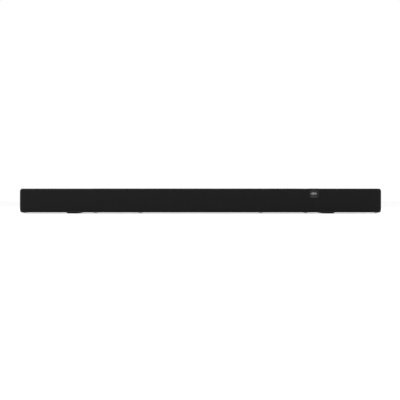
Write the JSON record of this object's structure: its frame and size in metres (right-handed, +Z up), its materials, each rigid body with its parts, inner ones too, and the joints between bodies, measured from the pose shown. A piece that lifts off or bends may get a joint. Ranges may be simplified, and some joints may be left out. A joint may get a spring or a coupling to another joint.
{
  "type": "soundbar",
  "caption": "Slim straight soundbar with a wrapped fabric grille, top keys, rear cable bay, reflex ports, low feet and keyhole wall fixings.",
  "frame": {"origin": "middle of the bar's footprint, on the surface that the rubber feet stand on", "axes": "+X along the bar to the listener's right, +Y from the grille to the wall, +Z up"},
  "size_m": [1.07, 0.12, 0.0741],
  "materials": {
    "cabinet_plastic": "black moulded ABS, fine satin spark texture",
    "trim_plastic": "black moulded panel, smoother than the cabinet",
    "grille_fabric": "black woven acoustic fabric, matt",
    "badge_metal": "dark anodised aluminium, fine brushing",
    "key_plastic": "black satin key caps",
    "rubber": "black rubber, matt",
    "steel": "zinc-plated or nickel-plated sheet steel",
    "socket_plastic": "black glass-filled plastic",
    "circuit_board": "green solder mask on glass-epoxy board",
    "heat_sink_aluminium": "bare extruded aluminium",
    "basket_steel": "black e-coated pressed steel",
    "ferrite": "ferrite ring with plated steel plates",
    "cone_paper": "black coated paper pulp",
    "tweeter_plastic": "black moulded faceplate and pot",
    "dome_fabric": "coated silk dome, slight sheen",
    "cable_insulation": "PVC insulation, red speaker leads and a pale ribbon",
    "damping_foam": "open-cell grey foam"
  },
  "bodies": {
    "cabinet": {"main_chassis": "cabinet_plastic", "driver_baffle": "cabinet_plastic", "rear_cover": "cabinet_plastic", "top_cover": "cabinet_plastic", "top_trim_panel": "trim_plastic", "grille_frame": "cabinet_plastic", "grille_fabric": "grille_fabric", "badge_plate": "badge_metal", "io_panel": "cabinet_plastic", "main_board": "circuit_board", "power_supply_board": "circuit_board", "amplifier_heat_sink": "heat_sink_aluminium", "key_board": "circuit_board", "key_ribbon_cable": "cable_insulation", "display_module": "socket_plastic", "ac_inlet": "socket_plastic", "usb_socket": "steel", "network_socket": "steel", "hdmi_socket": "steel", "optical_socket": "socket_plastic", "aux_socket": "socket_plastic", "left_woofer_basket": "basket_steel", "left_woofer_magnet": "ferrite", "left_woofer_surround": "rubber", "centre_left_woofer_basket": "basket_steel", "centre_left_woofer_magnet": "ferrite", "centre_left_woofer_surround": "rubber", "centre_right_woofer_basket": "basket_steel", "centre_right_woofer_magnet": "ferrite", "centre_right_woofer_surround": "rubber", "right_woofer_basket": "basket_steel", "right_woofer_magnet": "ferrite", "right_woofer_surround": "rubber", "left_tweeter_body": "tweeter_plastic", "centre_tweeter_body": "tweeter_plastic", "right_tweeter_body": "tweeter_plastic", "left_foot_carrier": "cabinet_plastic", "left_foot_pad": "rubber", "left_port_tube": "cabinet_plastic", "left_keyhole_plate": "steel", "left_speaker_cable": "cable_insulation", "left_damping_foam": "damping_foam", "right_foot_carrier": "cabinet_plastic", "right_foot_pad": "rubber", "right_port_tube": "cabinet_plastic", "right_keyhole_plate": "steel", "right_speaker_cable": "cable_insulation", "right_damping_foam": "damping_foam"},
    "power_key": {"power_key": "key_plastic"},
    "source_key": {"source_key": "key_plastic"},
    "mute_key": {"mute_key": "key_plastic"},
    "volume_down_key": {"volume_down_key": "key_plastic"},
    "volume_up_key": {"volume_up_key": "key_plastic"},
    "left_woofer_diaphragm": {"left_woofer_cone": "cone_paper"},
    "centre_left_woofer_diaphragm": {"centre_left_woofer_cone": "cone_paper"},
    "centre_right_woofer_diaphragm": {"centre_right_woofer_cone": "cone_paper"},
    "right_woofer_diaphragm": {"right_woofer_cone": "cone_paper"},
    "left_tweeter_diaphragm": {"left_tweeter_dome": "dome_fabric"},
    "centre_tweeter_diaphragm": {"centre_tweeter_dome": "dome_fabric"},
    "right_tweeter_diaphragm": {"right_tweeter_dome": "dome_fabric"}
  },
  "joints": [
    {"name": "power_key_press", "type": "slide", "parent": "cabinet", "child": "power_key", "axis": [0, 0, -1], "range_m": [0, 0.0008], "stiffness_N_per_m": 600, "springref_m": -0.0006},
    {"name": "source_key_press", "type": "slide", "parent": "cabinet", "child": "source_key", "axis": [0, 0, -1], "range_m": [0, 0.0008], "stiffness_N_per_m": 600, "springref_m": -0.0006},
    {"name": "mute_key_press", "type": "slide", "parent": "cabinet", "child": "mute_key", "axis": [0, 0, -1], "range_m": [0, 0.0008], "stiffness_N_per_m": 600, "springref_m": -0.0006},
    {"name": "volume_down_key_press", "type": "slide", "parent": "cabinet", "child": "volume_down_key", "axis": [0, 0, -1], "range_m": [0, 0.0008], "stiffness_N_per_m": 600, "springref_m": -0.0006},
    {"name": "volume_up_key_press", "type": "slide", "parent": "cabinet", "child": "volume_up_key", "axis": [0, 0, -1], "range_m": [0, 0.0008], "stiffness_N_per_m": 600, "springref_m": -0.0006},
    {"name": "left_woofer_stroke", "type": "slide", "parent": "cabinet", "child": "left_woofer_diaphragm", "axis": [0, 1, 0], "range_m": [-0.003, 0.003], "stiffness_N_per_m": 900, "deforming": ["left_woofer_surround"]},
    {"name": "centre_left_woofer_stroke", "type": "slide", "parent": "cabinet", "child": "centre_left_woofer_diaphragm", "axis": [0, 1, 0], "range_m": [-0.003, 0.003], "stiffness_N_per_m": 900, "deforming": ["centre_left_woofer_surround"]},
    {"name": "centre_right_woofer_stroke", "type": "slide", "parent": "cabinet", "child": "centre_right_woofer_diaphragm", "axis": [0, 1, 0], "range_m": [-0.003, 0.003], "stiffness_N_per_m": 900, "deforming": ["centre_right_woofer_surround"]},
    {"name": "right_woofer_stroke", "type": "slide", "parent": "cabinet", "child": "right_woofer_diaphragm", "axis": [0, 1, 0], "range_m": [-0.003, 0.003], "stiffness_N_per_m": 900, "deforming": ["right_woofer_surround"]},
    {"name": "left_tweeter_stroke", "type": "slide", "parent": "cabinet", "child": "left_tweeter_diaphragm", "axis": [0, 1, 0], "range_m": [-0.0003, 0.0003], "stiffness_N_per_m": 900},
    {"name": "centre_tweeter_stroke", "type": "slide", "parent": "cabinet", "child": "centre_tweeter_diaphragm", "axis": [0, 1, 0], "range_m": [-0.0003, 0.0003], "stiffness_N_per_m": 900},
    {"name": "right_tweeter_stroke", "type": "slide", "parent": "cabinet", "child": "right_tweeter_diaphragm", "axis": [0, 1, 0], "range_m": [-0.0003, 0.0003], "stiffness_N_per_m": 900}
  ]
}
